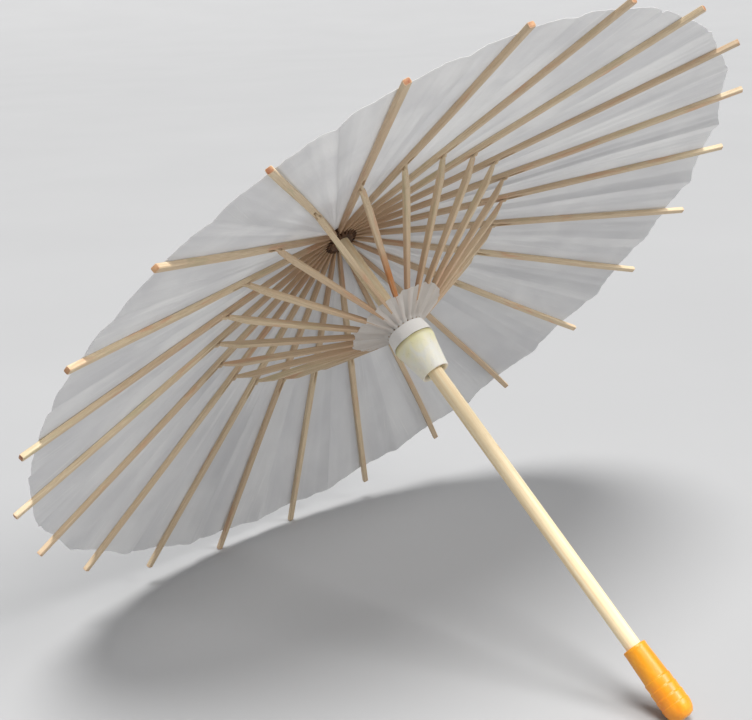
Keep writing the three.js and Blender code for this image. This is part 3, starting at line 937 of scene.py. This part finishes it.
def build_thread(name, node, body, height):
    """A loop of twisted thread through the necks of the ribs or struts."""
    rows = []
    for i, a in enumerate(circle_angles(RIB_COUNT * 8)):
        loop = []
        for b in circle_angles(THREAD_SIDES):
            r = THREAD_RADIUS + THREAD_STRANDS * math.cos(2 * b - i * THREAD_TWIST)
            radius = PIVOT_RADIUS + r * math.cos(b)
            loop.append((radius * math.cos(a), radius * math.sin(a), height + r * math.sin(b)))
        rows.append(loop)
    thread = make_piece(name, *loft(rows, ring=True), UPRIGHT, THREAD, 1.0)
    put_in_place(thread, node, body)


SHAFT_BOTTOM = -256
SHAFT_TOP = 9
SHAFT_LOOPS = 130
SHAFT_SIDES = 64
SHAFT_WANDER = 0.006


def build_shaft():
    """A sanded dowel, not quite round."""
    rows = []
    for z in np.linspace(SHAFT_BOTTOM, SHAFT_TOP, SHAFT_LOOPS):
        loop = []
        for i, a in enumerate(circle_angles(SHAFT_SIDES)):
            r = SHAFT_RADIUS * (1 + SHAFT_WANDER * float(wavy(z / 30, i / 11, 51)))
            loop.append((r * math.cos(a), r * math.sin(a), z))
        rows.append(loop)
    shaft = make_piece("shaft_dowel", *loft(rows), UPRIGHT, DOWEL, 0.0)
    put_in_place(shaft, "shaft", "root")


CAP_TOP = -239.2
RING_STEP = 0.2
SOCKET_RADIUS = 4.0
SOCKET_BOTTOM = -256.3


def build_handle_cap():
    """A moulded cap with a domed end, three low rings and a thin lip, hollow where the shaft goes in."""
    end = HANDLE_END_Z
    top = CAP_TOP
    outline = [(0, end), (2.6, end), (4.6, end + 0.8), (5.9, end + 2.6), (6.55, end + 5.0), (6.72, end + 7.2)]
    for start, radius in ((7.4, 6.45), (11.6, 6.3), (15.8, 6.15)):
        outline += [(radius, end + start), (radius + RING_STEP, end + start + 3.7)]
    outline += [(5.95, end + 19.9), (5.75, end + 27), (5.5, top - 1.6), (5.62, top - 1.2), (5.5, top)]
    outline += [(SOCKET_RADIUS, top), (SOCKET_RADIUS, SOCKET_BOTTOM), (0, SOCKET_BOTTOM)]
    shape = lathe(rounded(outline, 5, 0.35))
    cap = make_piece("handle_cap_moulding", *shape, UPRIGHT, ORANGE, 3.0, SHARP_DEG_TURNED)
    put_in_place(cap, "handle_cap", "root")


CROWN_SEGMENTS = 184
CROWN_OUTSIDE = [
    (0, 13), (3.1, 13), (4.1, 12.8), (4.7, 12.25), (6.5, 10.7), (8.6, 8.85),
    (10.4, 7.1), (11.5, 5.0), (12.5, 3.0),
]
CROWN_INSIDE = [(12.2, 2.6), (10.1, 6.6), (4.4, 11.8), (0, 12.3)]
CROWN_EDGE = 13.6
CROWN_RIPPLE = 0.16


def build_crown():
    """The paper cone over the hub: gathered folds down its sides, and a flat, pasted top."""
    rows = []
    for i, a in enumerate(circle_angles(CROWN_SEGMENTS)):
        ripple = math.cos(a * RIB_COUNT + 0.6 * float(wavy(i / 14, 0.4, 61)))
        edge = CROWN_EDGE + 0.25 * float(wavy(i / 7, 0.9, 62))
        loop = []
        for r, z in CROWN_OUTSIDE + [(edge, 1.0)]:
            lift = CROWN_RIPPLE * ripple * min(1, max(0, r - 4) / 6)
            loop.append((r * math.cos(a), r * math.sin(a), z + lift))
        for r, z in [(edge - 0.25, 0.8)] + CROWN_INSIDE:
            loop.append((r * math.cos(a), r * math.sin(a), z))
        rows.append(loop)
    crown = make_piece("crown_paper", *loft(rows, ring=True), UPRIGHT, WHITE_PAPER, 8.0, SHARP_DEG_PAPER)
    put_in_place(crown, "crown_cap", "root")


def paint_hub():
    """The hub keeps its CAD shape, and only gets its wood."""
    hub = frame["nodes"]["hub"]
    hub.data.materials.clear()
    hub.data.materials.append(DARK_WOOD)


# ---------------------------------------------------------------------------
# Stage, light and camera
# ---------------------------------------------------------------------------
FLOOR_LEVEL_TO = 5.0
FLOOR_SWEEP = 9.0
FLOOR_RIM_HEIGHT = 3.4
FLOOR_SEGMENTS = 96


def build_stage():
    """A pale floor, level for metres round the parasol, whose far rim sweeps up so that no horizon shows."""
    profile = [(1.5, 0.0), (3.0, 0.0), (FLOOR_LEVEL_TO, 0.0)]
    for t in np.linspace(0.08, 1, 14):
        profile.append((FLOOR_LEVEL_TO + FLOOR_SWEEP * t, FLOOR_RIM_HEIGHT * t ** 2.2))
    points = [(0.0, 0.0, 0.0)]
    faces = []
    for radius, height in profile:
        angles = circle_angles(FLOOR_SEGMENTS)
        points += [(radius * math.cos(a), radius * math.sin(a), height) for a in angles]
    for i in range(FLOOR_SEGMENTS):
        j = (i + 1) % FLOOR_SEGMENTS
        faces.append((0, 1 + i, 1 + j))
        for k in range(len(profile) - 1):
            low, high = 1 + k * FLOOR_SEGMENTS, 1 + (k + 1) * FLOOR_SEGMENTS
            faces.append((low + i, high + i, high + j, low + j))
    mesh = bpy.data.meshes.new("floor")
    mesh.from_pydata(points, [], faces)
    mesh.shade_smooth()
    floor = bpy.data.objects.new("floor", mesh)
    bpy.context.scene.collection.objects.link(floor)
    s = Shader("floor")
    mottle = s.noise(s.add("ShaderNodeTexCoord").outputs["Object"], scale=3, detail=3)
    s.finish(Base_Color=s.mix(mottle, srgb(166, 167, 169), srgb(172, 173, 175)), Roughness=0.8)
    floor.data.materials.append(s.material)


def soft_sun(name, place, power, softness, colour):
    """Even light from the direction of place, as soft as from a lamp that looks softness degrees wide."""
    light = bpy.data.lights.new(name, "SUN")
    light.angle = math.radians(softness)
    light.energy = power
    light.color = colour
    lamp = bpy.data.objects.new(name, light)
    lamp.location = place
    lamp.rotation_euler = (-Vector(place)).to_track_quat("-Z", "Y").to_euler()
    bpy.context.scene.collection.objects.link(lamp)


def build_lights():
    bpy.context.scene.view_settings.view_transform = "Standard"
    soft_sun("overhead", (-0.2, 0.14, 1.0), 3.35, 26, (1.0, 0.985, 0.96))
    soft_sun("side", (-1.8, -0.8, 1.85), 2.05, 24, (1.0, 0.985, 0.965))
    world = bpy.data.worlds.new("studio")
    world.use_nodes = True
    sky = world.node_tree.nodes["Background"]
    sky.inputs["Color"].default_value = (0.89, 0.91, 0.94, 1)
    sky.inputs["Strength"].default_value = 0.22
    bpy.context.scene.world = world


CAMERA_AZIMUTH = -132.76
CAMERA_ELEVATION = 16.57
CAMERA_ROLL = -2.68
CAMERA_PLACE = (-0.4114, 0.4136, 0.3091)
CAMERA_LENS = 61.2
SENSOR_WIDTH = 36


def build_camera():
    """The photo's view. Azimuth 0 looks along +Y and 90 along -X."""
    data = bpy.data.cameras.new("camera")
    data.sensor_width = SENSOR_WIDTH
    data.lens = CAMERA_LENS
    camera = bpy.data.objects.new("camera", data)
    a, e = math.radians(CAMERA_AZIMUTH), math.radians(CAMERA_ELEVATION)
    ahead = Vector((-math.sin(a) * math.cos(e), math.cos(a) * math.cos(e), -math.sin(e)))
    aim = ahead.to_track_quat("-Z", "Y").to_matrix().to_4x4()
    roll = Matrix.Rotation(math.radians(CAMERA_ROLL), 4, "Z")
    camera.matrix_world = Matrix.Translation(CAMERA_PLACE) @ aim @ roll
    bpy.context.scene.collection.objects.link(camera)
    bpy.context.scene.camera = camera


build_camera()
build_ribs_and_struts()
build_canopy()
build_skirt()
build_runner()
build_thread("hub_thread_loop", "hub_thread", "root", 0.0)
build_thread("runner_thread_loop", "runner_thread", "runner", RUNNER_PIVOT_Z)
build_shaft()
build_handle_cap()
build_crown()
paint_hub()
build_stage()
build_lights()
